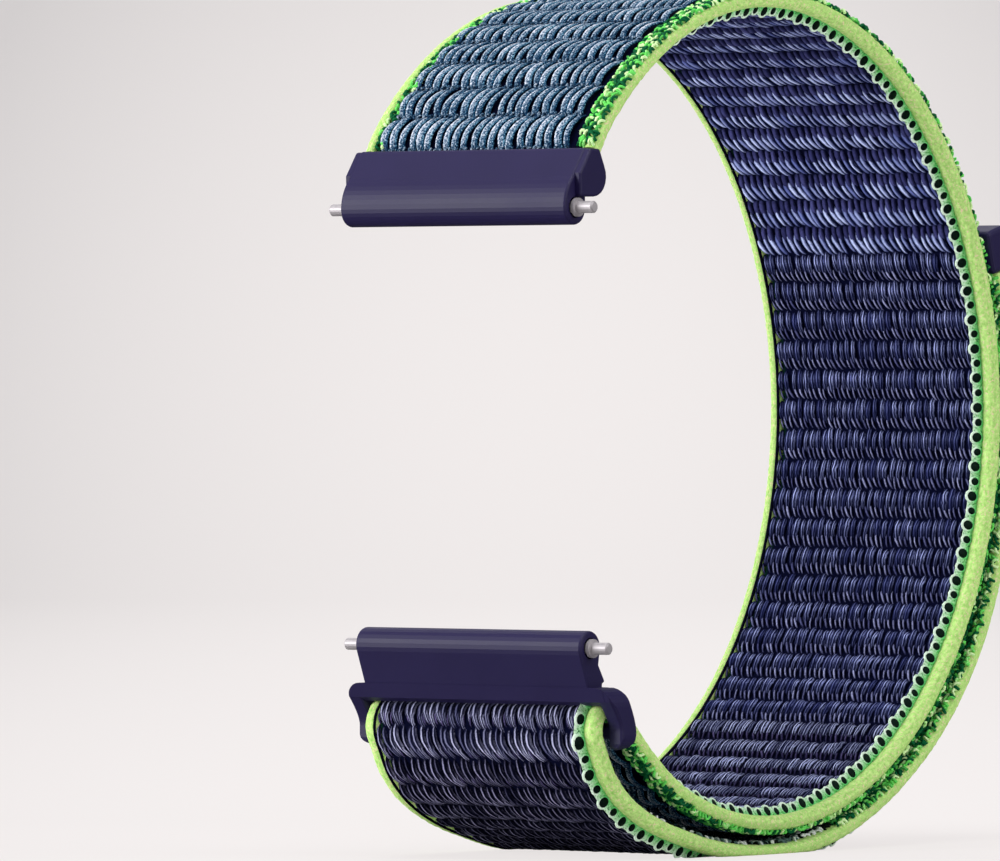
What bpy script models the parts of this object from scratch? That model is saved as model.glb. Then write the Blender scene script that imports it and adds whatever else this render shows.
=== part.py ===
# Nylon hook-and-loop watch strap, closed into its loop, in metres with +Z up.
# X runs across the strap, -Y is the side where the watch sits.
import math

import bmesh
import bpy
from mathutils import Vector

# Driving sizes
LUG_SPACE = 0.0220           # gap between the watch's own lugs, which both ends fit
EDGE_PLAY = 0.00015          # from each edge of the strap to the watch's lugs
CORD_DIAMETER = 0.0013
WEAVE_THICKNESS = 0.0010
PILE_THICKNESS = 0.0003
LAYER_GAP = 0.00015          # between a woven layer and the pile or hooks on it
SIDE_GAP = 0.00015           # between the woven field and its edge cords
FASTENED_GAP = 0.00025       # between the tail and the ring where they are pressed together
LOOP_HALF_DEPTH = 0.0296     # ring's centre line, along Y
LOOP_HALF_HEIGHT = 0.03125   # ring's centre line, along Z
REST_FLAT_DEPTH = 0.0005     # how deep the strap is pressed flat where it stands
TAIL_SLACK = 0.0005          # how far the tail stands off at the back
TUCK_DEPTH = 0.00065         # how far the crossbar draws the ring's end inwards
TAIL_BULGE = 0.0005          # how far the tail bows out below the fold

# Angles round the loop, in degrees from +Y towards +Z
RING_START_ANGLE = 136
RING_END_ANGLE = -133
TUCK_START_ANGLE = -112
FOLD_TURN_ANGLE = 160        # degrees that the strap turns through round the crossbar
TAIL_START_ANGLE = -132
TUCK_SPREAD_ANGLE = 4.8      # over which the tail leaves the tuck
BULGE_RISE_ANGLE = 9
BULGE_FALL_ANGLE = 16
TAIL_TAPER_ANGLE = -88       # where the tail has closed in on the ring
FLAP_HINGE_ANGLE = -60
SLACK_ANGLE = -32
SLACK_SPREAD_ANGLE = 34
HOOK_START_ANGLE = -36
TAIL_END_ANGLE = 19
STATION_ANGLE = 3.5          # longest step between two sections of the strap

# Upper lug, from its pin
BARREL_PLAY = 0.0005         # at each end of a barrel, inside the watch's lugs
BARREL_RADIUS = 0.0013
BORE_RADIUS = 0.0008
LUG_FRONT_RADIUS = 0.00315   # long curve of the front above the barrel
LUG_EDGE_BEVEL = 0.00016
CHEEK_WALL = 0.00015         # how far the lug's cheeks stand out past the cords
NOTCH_RISE = 0.0023          # where the cheeks begin, above the barrel
NOTCH_STEP = 0.00025         # how far the cheeks' front lies behind it there
CHEEK_STEP = 0.00005         # how far the cheeks stand back at the top
UPPER_RISE = 0.0044          # pin to top edge
UPPER_TOP_BACK = 0.0024
UPPER_TOP_FRONT = 0.0012
UPPER_BODY_LOW = 0.00255     # front lower edge of the wider body
BELLY_RADIUS = 0.0015
BELLY_BACK = 0.00175
BELLY_RISE = 0.0023
BELLY_ANGLE = 32             # where its round back starts
LUG_BEND_RADIUS = 0.012      # last bend of the strap into the lug
LUG_BEND_ANGLE = 14
POCKET_DEPTH = 0.0019
POCKET_GAP = 0.0002
PIN_FORWARD = 0.0024         # from the pocket's mouth to the upper pin
PIN_DROP = 0.0042
CORD_CLEAR = 0.0003          # between a cord's end and the lug

# Lower lug, from its pin
CROSSBAR_RADIUS = 0.0006
CROSSBAR_PLAY = 0.00025
CROSSBAR_BACK = 0.00255      # from the lower pin to the crossbar
CROSSBAR_DROP = 0.00618
EAR_GAP = 0.0002             # between an edge cord and an ear
EAR_WALL = 0.0013
EAR_FRONT = 0.00105          # lobe's reach from the crossbar, each way
EAR_BACK = 0.00085
EAR_DROP = 0.0014
EAR_RADIUS = 0.0013          # lobe's rounded back
EAR_CORNER = 0.0005          # its front lower corner
EAR_FRONT_RISE = 0.0007      # where its front and back start to curve, above the crossbar
EAR_BACK_RISE = 0.0009
EAR_FOOT_RADIUS = 0.0011     # outer lower corner, seen from the front
EAR_FOOT_ANGLE = 80          # degrees that this corner turns through
EAR_BEVEL = 0.00022
PLATE_LEAN = 22              # degrees that the front plate leans back
PLATE_DROP = 0.0040          # pin to the plate's lower edge
PLATE_GAP = 0.0002           # between the plate and the cords that fold below it
PLATE_LIP = 0.0012           # thickness of the plate's lower lip
PLATE_FLARE = 0.0019         # from the pin back to the plate's rear ridge
PLATE_FLARE_DROP = 0.0025
PLATE_WAIST = 0.0011         # from the pin back to the hollow under the barrel
PLATE_WAIST_DROP = 0.00125
SHOULDER_DROP = 0.0029       # pin to the top of the ears
SHOULDER_RADIUS = 0.0014
SHOULDER_STEP = 0.00005      # how far the shoulder stands proud of the plate

# Spring bars
TUBE_RADIUS = 0.00065
TUBE_WALL = 0.00015
STEM_RADIUS = 0.0004
TIP_RADIUS = 0.00045
TIP_ROUND = 0.00012
TIP_REACH = 0.0013           # past the watch's lug space
TIP_TRAVEL = 0.0014
FLANGE_RADIUS = 0.0007
FLANGE_WIDTH = 0.0003
BAR_GAP = 0.0001
STEM_LENGTH = 0.0036         # inboard of the flange
SPRING_WIRE_RADIUS = 0.00009
SPRING_RADIUS = 0.00034
SPRING_TURNS = 12

# Tail tab
TAB_HEIGHT = 0.0035
TAB_SLEEVE = 0.0008          # from the tail's centre line to the middle of the bead
TAB_BACK = 0.00095           # from the tail's centre line to the tab's flat back
TAB_POCKET_DEPTH = 0.0022
TAB_END_ROUND = 0.0004

CUT_OVERRUN = 0.001
WELD_SHARE = 0.1             # of the bars' gap, within which points are joined
SHARP_ANGLE = 40             # degrees between faces that meet in a sharp edge
BEVEL_ANGLE = 50             # degrees between faces whose edge is rounded off

# Counts
CORD_SIDES = 8
ROUND_SIDES = 20
BORE_SIDES = 24
SPRING_SIDES = 4
POINTS_PER_TURN = 8
FOLD_STEPS = 10
ARC_STEPS = 7

# Sizes that follow
strap_half = LUG_SPACE / 2 - EDGE_PLAY
cord_radius = CORD_DIAMETER / 2
cord_centre = strap_half - cord_radius
weave_half = strap_half - CORD_DIAMETER - SIDE_GAP
weave_face = WEAVE_THICKNESS / 2
pile_half = weave_half - PILE_THICKNESS - SIDE_GAP
pile_low = weave_face + LAYER_GAP
pile_high = pile_low + PILE_THICKNESS
layer_pitch = 2 * pile_high + FASTENED_GAP
fold_radius = CROSSBAR_RADIUS + CROSSBAR_PLAY + pile_high
barrel_half = LUG_SPACE / 2 - BARREL_PLAY
cheek_half = strap_half + CHEEK_WALL
ear_inner = strap_half + EAR_GAP
ear_outer = ear_inner + EAR_WALL
flange_inner = barrel_half + BAR_GAP / 2
flange_outer = flange_inner + FLANGE_WIDTH
tube_half = flange_inner - TIP_TRAVEL - BAR_GAP
tip_end = LUG_SPACE / 2 + TIP_REACH
stem_end = flange_inner - STEM_LENGTH
bead_radius = TAB_HEIGHT / 2


def clear_scene():
    for old in list(bpy.data.objects):
        bpy.data.objects.remove(old, do_unlink=True)


def make_material(name, colour, roughness, metallic=0.0):
    material = bpy.data.materials.new(name)
    material.use_nodes = True
    shader = material.node_tree.nodes["Principled BSDF"]
    shader.inputs["Base Color"].default_value = (*colour, 1)
    shader.inputs["Roughness"].default_value = roughness
    shader.inputs["Metallic"].default_value = metallic
    return material


# The strap's centre line, as (y, z) from the loop's centre

def ring_point(angle, stand_off=0.0):
    turn = math.radians(angle)
    point = Vector((LOOP_HALF_DEPTH * math.cos(turn), LOOP_HALF_HEIGHT * math.sin(turn)))
    outward = Vector((LOOP_HALF_HEIGHT * math.cos(turn), LOOP_HALF_DEPTH * math.sin(turn)))
    return point + outward.normalized() * stand_off


def ring_direction(angle):
    turn = math.radians(angle)
    return Vector((-LOOP_HALF_DEPTH * math.sin(turn), LOOP_HALF_HEIGHT * math.cos(turn))).normalized()


def ease(value):
    value = min(max(value, 0.0), 1.0)
    return value * value * (3 - 2 * value)


def tuck(angle):
    # How far the ring lies inside its ellipse, near the crossbar
    return TUCK_DEPTH * ease((TUCK_START_ANGLE - angle) / (TUCK_START_ANGLE - RING_END_ANGLE))


def tail_stand_off(angle):
    # Two fold radii apart at the crossbar, bowed out below it, pressed close, with slack at the back
    past = angle - RING_END_ANGLE
    drawn = TUCK_DEPTH * max(1 - past / TUCK_SPREAD_ANGLE, 0.0) ** 2
    sink = 1 - ease((past - BULGE_RISE_ANGLE) / BULGE_FALL_ANGLE)
    bulge = TAIL_BULGE * ease(past / BULGE_RISE_ANGLE) * sink
    fall = ease(past / (TAIL_TAPER_ANGLE - RING_END_ANGLE))
    away = min(abs(angle - SLACK_ANGLE) / SLACK_SPREAD_ANGLE, 1.0)
    slack = TAIL_SLACK * (1 - ease(away))
    return 2 * fold_radius - drawn + bulge + (layer_pitch - 2 * fold_radius) * fall + slack


def turned(direction, degrees):
    turn = math.radians(degrees)
    return Vector((direction.x * math.cos(turn) - direction.y * math.sin(turn),
                   direction.x * math.sin(turn) + direction.y * math.cos(turn)))


def angle_steps(first, last, step=STATION_ANGLE):
    count = max(1, math.ceil(abs(last - first) / step))
    return [first + (last - first) * i / count for i in range(count + 1)]


def lug_bend():
    # From the ring's start down into the upper lug: a short arc, then the pocket's own direction
    heading = ring_direction(RING_START_ANGLE)
    place = ring_point(RING_START_ANGLE)
    turn = LUG_BEND_ANGLE / ARC_STEPS
    length = LUG_BEND_RADIUS * math.radians(turn)
    points = [place]
    for _ in range(ARC_STEPS):
        place = place + turned(heading, turn / 2) * length
        heading = turned(heading, turn)
        points.append(place)
    return points, heading


bend_points, pocket_heading = lug_bend()
pocket_mouth = bend_points[-1]
upper_pin = pocket_mouth + Vector((-PIN_FORWARD, -PIN_DROP))
crossbar = ring_point(RING_END_ANGLE, fold_radius - TUCK_DEPTH)
lower_pin = crossbar + Vector((-CROSSBAR_BACK, CROSSBAR_DROP))


def fold_points():
    start = ring_point(RING_END_ANGLE, -TUCK_DEPTH) - crossbar
    return [crossbar + turned(start, FOLD_TURN_ANGLE * i / FOLD_STEPS) for i in range(FOLD_STEPS + 1)]


def ring_path():
    return [ring_point(a, -tuck(a)) for a in angle_steps(RING_START_ANGLE, RING_END_ANGLE)]


def tail_path(first, last):
    return [ring_point(a, tail_stand_off(a)) for a in angle_steps(first, last)]


# Gap at the flap's hinge line, as an angle
hinge_gap_angle = math.degrees(2 * LAYER_GAP / LOOP_HALF_HEIGHT)
tail_end = ring_point(TAIL_END_ANGLE, tail_stand_off(TAIL_END_ANGLE))
band_tail = tail_path(TAIL_START_ANGLE, FLAP_HINGE_ANGLE - hinge_gap_angle / 2)
flap_line = tail_path(FLAP_HINGE_ANGLE + hinge_gap_angle / 2, TAIL_END_ANGLE)
band_line = ring_path()[:-1] + fold_points() + band_tail

# The part's own frame: origin under the middle of its box
front_reach = upper_pin.x - BARREL_RADIUS
rear_reach = max(p.x for p in flap_line) + cord_radius
low_reach = min(p.y for p in band_tail) - cord_radius + REST_FLAT_DEPTH
frame_shift = Vector((-(front_reach + rear_reach) / 2, -low_reach))


def placed(x, point):
    y, z = point + frame_shift
    return Vector((x, y, z))


def side_normals(points):
    # Unit vectors to the left of the way the strap runs, which is its pile side
    normals = []
    for i, _ in enumerate(points):
        run = points[min(i + 1, len(points) - 1)] - points[max(i - 1, 0)]
        normals.append(Vector((-run.y, run.x)).normalized())
    return normals


def sweep(points, section):
    # Carries a closed section of (x, side) places along the centre line, pressed flat at the floor
    mesh = bmesh.new()
    rings = []
    for point, normal in zip(points, side_normals(points)):
        ring = []
        for x, side in section:
            spot = placed(x, point + normal * side)
            spot.z = max(spot.z, 0.0)
            ring.append(mesh.verts.new(spot))
        rings.append(ring)
    for one, two in zip(rings, rings[1:]):
        for i in range(len(section)):
            j = (i + 1) % len(section)
            mesh.faces.new((one[i], one[j], two[j], two[i]))
    mesh.faces.new(rings[0][::-1])
    mesh.faces.new(rings[-1])
    return mesh


def strip_section(half_width, low, high):
    return [(-half_width, low), (half_width, low), (half_width, high), (-half_width, high)]


def cord_section(side):
    centre = side * cord_centre
    turns = [2 * math.pi * (i + 0.5) / CORD_SIDES for i in range(CORD_SIDES)]
    return [(centre + cord_radius * math.cos(t), cord_radius * math.sin(t)) for t in turns]


def arc(centre, radius, first, last, steps=ARC_STEPS):
    turns = [math.radians(first + (last - first) * i / steps) for i in range(steps + 1)]
    return [centre + Vector((math.cos(t), math.sin(t))) * radius for t in turns]


def extruded(outline, x_low, x_high):
    # A closed outline of (y, z) points drawn out along X
    mesh = bmesh.new()
    low = [mesh.verts.new(placed(x_low, p)) for p in outline]
    high = [mesh.verts.new(placed(x_high, p)) for p in outline]
    for i in range(len(outline)):
        j = (i + 1) % len(outline)
        mesh.faces.new((low[i], low[j], high[j], high[i]))
    mesh.faces.new(low[::-1])
    mesh.faces.new(high)
    return mesh


def turned_profile(profile, centre, sides=ROUND_SIDES):
    # Revolves (x, radius) places about the X axis through centre; radius 0 closes an end
    mesh = bmesh.new()
    rings = []
    for x, radius in profile:
        if radius == 0:
            rings.append([mesh.verts.new(placed(x, centre))])
            continue
        rings.append([mesh.verts.new(placed(x, p)) for p in arc(centre, radius, 0, 360, sides)[:-1]])
    for one, two in zip(rings, rings[1:]):
        for i in range(sides):
            j = (i + 1) % sides
            if len(one) == 1:
                mesh.faces.new((one[0], two[j], two[i]))
            elif len(two) == 1:
                mesh.faces.new((one[i], one[j], two[0]))
            else:
                mesh.faces.new((one[i], one[j], two[j], two[i]))
    return mesh


def add_object(name, mesh, material):
    bmesh.ops.recalc_face_normals(mesh, faces=mesh.faces)
    data = bpy.data.meshes.new(name)
    mesh.to_mesh(data)
    mesh.free()
    data.materials.append(material)
    data.shade_smooth()
    data.set_sharp_from_angle(angle=math.radians(SHARP_ANGLE))
    made = bpy.data.objects.new(name, data)
    bpy.context.scene.collection.objects.link(made)
    return made


def add_cutter(name, mesh, material):
    made = add_object(name, mesh, material)
    made.hide_render = True
    made.display_type = "WIRE"
    return made


def bevel(made, width, segments=2):
    step = made.modifiers.new("edges", "BEVEL")
    step.width = width
    step.segments = segments
    step.limit_method = "ANGLE"
    step.angle_limit = math.radians(BEVEL_ANGLE)


def combine(made, other, operation):
    step = made.modifiers.new(operation.lower(), "BOOLEAN")
    step.operation = operation
    step.solver = "EXACT"
    step.object = other


def move_origin(made, x, point):
    # Puts the object's origin on its joint's axis without moving its mesh
    spot = placed(x, point)
    for vertex in made.data.vertices:
        vertex.co -= spot
    made.location = spot


def plate_front(drop, forward=0.0):
    # Point on the lower lug's leaning front, so far below its pin
    lean = math.radians(PLATE_LEAN)
    start = lower_pin - Vector((math.cos(lean), math.sin(lean))) * BARREL_RADIUS
    run = drop - BARREL_RADIUS * math.sin(lean)
    return start + Vector((math.tan(lean) * run - forward, -run))


def bore_cutter(name, pin, material):
    reach = barrel_half + CUT_OVERRUN
    profile = [(-reach, 0), (-reach, BORE_RADIUS), (reach, BORE_RADIUS), (reach, 0)]
    return add_cutter(name, turned_profile(profile, pin, BORE_SIDES), material)


def upper_front():
    # Long curve from the barrel's front up to the notch
    centre = upper_pin + Vector((LUG_FRONT_RADIUS - BARREL_RADIUS, 0))
    turn = math.degrees(math.asin(NOTCH_RISE / LUG_FRONT_RADIUS))
    return arc(centre, LUG_FRONT_RADIUS, 180, 180 - turn)


def upper_pocket():
    # Slot in the upper lug for the strap's end
    across = Vector((-pocket_heading.y, pocket_heading.x)) * (weave_face + POCKET_GAP)
    deep = pocket_mouth + pocket_heading * (POCKET_DEPTH + POCKET_GAP)
    out = pocket_mouth - pocket_heading * (UPPER_RISE / 2)
    slot_half = weave_half + POCKET_GAP
    return extruded([out - across, out + across, deep + across, deep - across], -slot_half, slot_half)


def build_upper_lug(plastic):
    pin = upper_pin
    front = upper_front()
    barrel = arc(pin, BARREL_RADIUS, 0, -180, 2 * ARC_STEPS)[:-1] + front
    barrel.append(pin + Vector((UPPER_TOP_FRONT, UPPER_RISE)))
    barrel.append(pin + Vector((UPPER_TOP_BACK - CHEEK_STEP, UPPER_RISE)))
    barrel.append(pin + Vector((BELLY_BACK, BELLY_RISE)))
    barrel.append(pin + Vector((BARREL_RADIUS, BELLY_RISE - BELLY_RADIUS / 2)))
    lug = add_object("upper_lug", extruded(barrel, -barrel_half, barrel_half), plastic)
    bevel(lug, LUG_EDGE_BEVEL)

    body = arc(pin + Vector((BELLY_BACK, BELLY_RISE)), BELLY_RADIUS, BELLY_ANGLE, -90)
    body.append(Vector((pin.x, pin.y + BELLY_RISE - BELLY_RADIUS)))
    body.append(Vector((front[-1].x + NOTCH_STEP, pin.y + UPPER_BODY_LOW)))
    body.append(pin + Vector((UPPER_TOP_FRONT + CHEEK_STEP, UPPER_RISE - CHEEK_STEP)))
    body.append(pin + Vector((UPPER_TOP_BACK, UPPER_RISE - CHEEK_STEP)))
    wide = add_cutter("upper_lug_cheeks", extruded(body, -cheek_half, cheek_half), plastic)
    bevel(wide, LUG_EDGE_BEVEL)
    combine(lug, wide, "UNION")
    combine(lug, add_cutter("upper_pocket", upper_pocket(), plastic), "DIFFERENCE")
    combine(lug, bore_cutter("upper_bore", pin, plastic), "DIFFERENCE")


def plate_lip(clear, forward):
    # Lower edge of the lower lug's plate: its toe, then its underside, which follows the fold
    toe = plate_front(PLATE_DROP, forward)
    reach = toe - crossbar
    low = math.degrees(math.atan2(reach.y, reach.x))
    return [toe] + arc(crossbar, clear, low, low - math.degrees(PLATE_LIP / clear))[1:]


def eased(start, corner, end, steps=ARC_STEPS):
    # Curve that leaves start towards corner and comes into end from corner
    marks = [i / steps for i in range(steps + 1)]
    return [start * (1 - t) ** 2 + corner * (2 * t * (1 - t)) + end * t ** 2 for t in marks]


def ear_outline():
    # From the front of the shoulder down to the lobe that holds the crossbar, and up the back
    lobe = crossbar + Vector((EAR_BACK - EAR_RADIUS, EAR_RADIUS - EAR_DROP))
    corner = crossbar + Vector((EAR_CORNER - EAR_FRONT, EAR_CORNER - EAR_DROP))
    top = SHOULDER_DROP - SHOULDER_STEP
    toe = plate_front(PLATE_DROP, SHOULDER_STEP / 2)
    front = crossbar - Vector((EAR_FRONT, 0))
    points = [plate_front(top, SHOULDER_STEP / 2)]
    points += eased(toe, front + Vector((0, EAR_FRONT_RISE)), front)
    points += arc(corner, EAR_CORNER, 180, 270, ARC_STEPS // 2)
    points += arc(lobe, EAR_RADIUS, 270, 360)
    ridge = Vector((lower_pin.x + PLATE_FLARE, lower_pin.y - top))
    points += eased(points[-1], crossbar + Vector((EAR_BACK, EAR_BACK_RISE)), ridge)[1:]
    return points


def build_shoulder(plastic):
    # Ears, crossbar and the shoulder between the ears, rounded off at the outer corners
    span = (ear_inner + ear_outer) / 2
    start = plate_front(SHOULDER_DROP - SHOULDER_STEP, SHOULDER_STEP)
    outline = [start] + plate_lip(fold_radius + cord_radius + PLATE_GAP, SHOULDER_STEP)
    outline.append(Vector((outline[-1].x, start.y)))
    foot = add_cutter("lower_shoulder", extruded(outline, -span, span), plastic)
    for name, side in (("lower_ear_left", -1), ("lower_ear_right", 1)):
        low, high = sorted((side * ear_inner, side * ear_outer))
        ear = add_cutter(name, extruded(ear_outline(), low, high), plastic)
        bevel(ear, EAR_BEVEL)
        combine(foot, ear, "UNION")
    profile = [(-span, 0), (-span, CROSSBAR_RADIUS), (span, CROSSBAR_RADIUS), (span, 0)]
    combine(foot, add_cutter("lower_crossbar", turned_profile(profile, crossbar), plastic), "UNION")
    combine(foot, add_cutter("lower_arch", arch(), plastic), "INTERSECT")
    return foot


def arch():
    # Front view of the shoulder and ears: upright sides and rounded corners, drawn out along Y
    top = lower_pin.y - SHOULDER_DROP
    low = crossbar.y - EAR_DROP
    foot = Vector((ear_outer - EAR_FOOT_RADIUS, low + EAR_FOOT_RADIUS))
    shoulder = Vector((ear_outer - SHOULDER_RADIUS, top - SHOULDER_RADIUS))
    outline = arc(foot, EAR_FOOT_RADIUS, -EAR_FOOT_ANGLE, 0) + arc(shoulder, SHOULDER_RADIUS, 0, 90)
    outline += [Vector((-p.x, p.y)) for p in reversed(outline)]
    front = lower_pin.x - BARREL_RADIUS - CUT_OVERRUN
    back = crossbar.x + EAR_BACK + CUT_OVERRUN
    mesh = bmesh.new()
    near = [mesh.verts.new(placed(p.x, Vector((front, p.y)))) for p in outline]
    far = [mesh.verts.new(placed(p.x, Vector((back, p.y)))) for p in outline]
    for i in range(len(outline)):
        j = (i + 1) % len(outline)
        mesh.faces.new((near[i], near[j], far[j], far[i]))
    mesh.faces.new(near[::-1])
    mesh.faces.new(far)
    return mesh


def build_lower_lug(plastic):
    pin = lower_pin
    # The plate stops inside the shoulder, so that no two faces of the joined solids lie in one plane
    clear = fold_radius + cord_radius + PLATE_GAP + SHOULDER_STEP
    plate = arc(pin, BARREL_RADIUS, 0, 180 + PLATE_LEAN, 2 * ARC_STEPS) + plate_lip(clear, 0.0)
    ridge = pin + Vector((PLATE_FLARE, -PLATE_FLARE_DROP))
    plate += [Vector((plate[-1].x, ridge.y - LUG_EDGE_BEVEL)), ridge]
    plate.append(pin + Vector((PLATE_WAIST, -PLATE_WAIST_DROP)))
    lug = add_object("lower_lug", extruded(plate, -barrel_half, barrel_half), plastic)
    bevel(lug, LUG_EDGE_BEVEL)
    combine(lug, build_shoulder(plastic), "UNION")
    combine(lug, bore_cutter("lower_bore", pin, plastic), "DIFFERENCE")
    move_origin(lug, 0.0, crossbar)


def build_spring_bar(end, pin, steel):
    inner = TUBE_RADIUS - TUBE_WALL
    profile = [(-tube_half, inner), (-tube_half, TUBE_RADIUS), (tube_half, TUBE_RADIUS), (tube_half, inner)]
    mesh = turned_profile(profile + profile[:1], pin)
    bmesh.ops.remove_doubles(mesh, verts=mesh.verts, dist=BAR_GAP * WELD_SHARE)
    tube = add_object(end + "_bar_tube", mesh, steel)
    move_origin(tube, 0.0, pin)

    for name, side in (("left", -1), ("right", 1)):
        places = [(stem_end, 0), (stem_end, STEM_RADIUS), (flange_inner, STEM_RADIUS)]
        places += [(flange_inner, FLANGE_RADIUS), (flange_outer, FLANGE_RADIUS)]
        places += [(flange_outer, TIP_RADIUS), (tip_end - TIP_ROUND, TIP_RADIUS)]
        places += [(tip_end, TIP_RADIUS - TIP_ROUND), (tip_end, 0)]
        profile = [(side * x, r) for x, r in places]
        tip = add_object(f"{end}_tip_{name}", turned_profile(profile, pin), steel)
        move_origin(tip, side * tip_end, pin)

    add_object(end + "_bar_spring", coil(pin), steel)


def coil(pin):
    # A helix of square-set wire between the two stems
    half = stem_end - BAR_GAP - SPRING_WIRE_RADIUS
    count = SPRING_TURNS * POINTS_PER_TURN
    mesh = bmesh.new()
    rings = []
    for i in range(count + 1):
        turn = 2 * math.pi * i / POINTS_PER_TURN
        out = Vector((math.cos(turn), math.sin(turn)))
        x = half * (2 * i / count - 1)
        ring = []
        for k in range(SPRING_SIDES):
            spot = 2 * math.pi * k / SPRING_SIDES
            radius = SPRING_RADIUS + SPRING_WIRE_RADIUS * math.cos(spot)
            ring.append(mesh.verts.new(placed(x + SPRING_WIRE_RADIUS * math.sin(spot), pin + out * radius)))
        rings.append(ring)
    for one, two in zip(rings, rings[1:]):
        for k in range(SPRING_SIDES):
            j = (k + 1) % SPRING_SIDES
            mesh.faces.new((one[k], one[j], two[j], two[k]))
    mesh.faces.new(rings[0][::-1])
    mesh.faces.new(rings[-1])
    return mesh


def line_above_lug():
    # The cords and the pile stop above the upper lug instead of entering its pocket
    lowest = upper_pin.y + UPPER_RISE + CORD_CLEAR + cord_radius / 2
    return [p for p in bend_points[:0:-1] if p.y > lowest] + band_line


def build_band(navy, teal, lime):
    tongue = [pocket_mouth + pocket_heading * POCKET_DEPTH]
    whole = tongue + bend_points[:0:-1] + band_line
    add_object("band_weave", sweep(whole, strip_section(weave_half, -weave_face, weave_face)), navy)
    outside = line_above_lug()
    add_object("band_pile", sweep(outside, strip_section(pile_half, pile_low, pile_high)), teal)
    for name, side in (("band_cord_left", -1), ("band_cord_right", 1)):
        add_object(name, sweep(outside, cord_section(side)), lime)


def build_flap(navy, teal, lime, hook, plastic):
    hinge = ring_point(FLAP_HINGE_ANGLE, tail_stand_off(FLAP_HINGE_ANGLE) + cord_radius)
    heading = (flap_line[-1] - flap_line[-2]).normalized()
    tongue = [tail_end + heading * TAB_POCKET_DEPTH]
    made = [
        add_object("flap_weave",
                   sweep(flap_line + tongue, strip_section(weave_half, -weave_face, weave_face)), navy),
    ]
    pile_line = tail_path(FLAP_HINGE_ANGLE + hinge_gap_angle / 2, HOOK_START_ANGLE - hinge_gap_angle / 2)
    made.append(add_object("flap_pile", sweep(pile_line, strip_section(pile_half, pile_low, pile_high)), teal))
    tab_clear = math.degrees(2 * CORD_CLEAR / LOOP_HALF_DEPTH)
    hook_line = tail_path(HOOK_START_ANGLE + hinge_gap_angle / 2, TAIL_END_ANGLE - tab_clear)
    made.append(add_object("hook_patch", sweep(hook_line, strip_section(pile_half, pile_low, pile_high)), hook))
    cord_line = tail_path(FLAP_HINGE_ANGLE + hinge_gap_angle / 2, TAIL_END_ANGLE - tab_clear)
    for name, side in (("flap_cord_left", -1), ("flap_cord_right", 1)):
        made.append(add_object(name, sweep(cord_line, cord_section(side)), lime))
    made.append(build_tab(heading, plastic))
    for piece in made:
        move_origin(piece, 0.0, hinge)


def build_tab(heading, plastic):
    # A bead with a flat back, with a slot in its lower face for the tail's end
    outward = Vector((heading.y, -heading.x))
    low = tail_end
    middle = low + heading * bead_radius
    centre = middle + outward * TAB_SLEEVE
    lean = math.degrees(math.atan2(outward.y, outward.x))
    outline = arc(centre, bead_radius, lean - 90, lean + 90, 2 * ARC_STEPS)
    outline.append(low + heading * TAB_HEIGHT - outward * TAB_BACK)
    outline.append(low - outward * TAB_BACK)
    tab = add_object("tail_tab", extruded(outline, -strap_half, strap_half), plastic)
    bevel(tab, TAB_END_ROUND, 3)
    across = outward * (weave_face + LAYER_GAP)
    start = low - heading * CUT_OVERRUN
    end = low + heading * (TAB_POCKET_DEPTH + LAYER_GAP)
    slot = [start - across, start + across, end + across, end - across]
    slot_half = weave_half + LAYER_GAP
    combine(tab, add_cutter("tab_slot", extruded(slot, -slot_half, slot_half), plastic), "DIFFERENCE")
    return tab


def build():
    clear_scene()
    plastic = make_material("indigo_plastic", (0.027, 0.016, 0.095), 0.38)
    steel = make_material("bar_steel", (0.62, 0.61, 0.60), 0.3, 1.0)
    navy = make_material("navy_weave", (0.020, 0.026, 0.120), 0.8)
    teal = make_material("loop_pile", (0.075, 0.150, 0.260), 0.9)
    lime = make_material("lime_cord", (0.480, 0.680, 0.170), 0.75)
    hook = make_material("hook_tape", (0.012, 0.014, 0.040), 0.6)
    build_upper_lug(plastic)
    build_lower_lug(plastic)
    build_spring_bar("upper", upper_pin, steel)
    build_spring_bar("lower", lower_pin, steel)
    build_band(navy, teal, lime)
    build_flap(navy, teal, lime, hook, plastic)


build()
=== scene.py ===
import math

import bmesh
import bpy
import numpy as np
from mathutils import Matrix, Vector


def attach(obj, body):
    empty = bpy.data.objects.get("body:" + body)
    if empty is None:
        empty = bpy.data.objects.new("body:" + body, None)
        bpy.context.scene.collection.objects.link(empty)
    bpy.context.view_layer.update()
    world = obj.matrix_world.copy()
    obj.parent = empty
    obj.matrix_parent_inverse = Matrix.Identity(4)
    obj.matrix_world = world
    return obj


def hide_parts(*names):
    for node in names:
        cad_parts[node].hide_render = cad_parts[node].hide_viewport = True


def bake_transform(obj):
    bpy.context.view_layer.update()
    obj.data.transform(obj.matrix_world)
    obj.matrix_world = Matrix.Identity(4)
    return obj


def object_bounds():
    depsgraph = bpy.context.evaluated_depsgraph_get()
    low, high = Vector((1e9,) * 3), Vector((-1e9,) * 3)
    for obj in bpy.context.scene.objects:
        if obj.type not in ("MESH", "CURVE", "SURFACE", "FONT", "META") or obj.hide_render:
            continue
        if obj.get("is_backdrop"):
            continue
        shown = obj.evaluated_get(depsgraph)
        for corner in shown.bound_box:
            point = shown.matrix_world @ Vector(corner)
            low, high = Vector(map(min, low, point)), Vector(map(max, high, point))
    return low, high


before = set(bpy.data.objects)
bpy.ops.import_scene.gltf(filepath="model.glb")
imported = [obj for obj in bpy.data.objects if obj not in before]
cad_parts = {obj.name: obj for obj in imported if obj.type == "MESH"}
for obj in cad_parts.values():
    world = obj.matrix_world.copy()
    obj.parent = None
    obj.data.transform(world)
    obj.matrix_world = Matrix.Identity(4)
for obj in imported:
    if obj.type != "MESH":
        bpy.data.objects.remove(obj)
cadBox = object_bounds()
print("frame loaded")


# Node helpers

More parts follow.
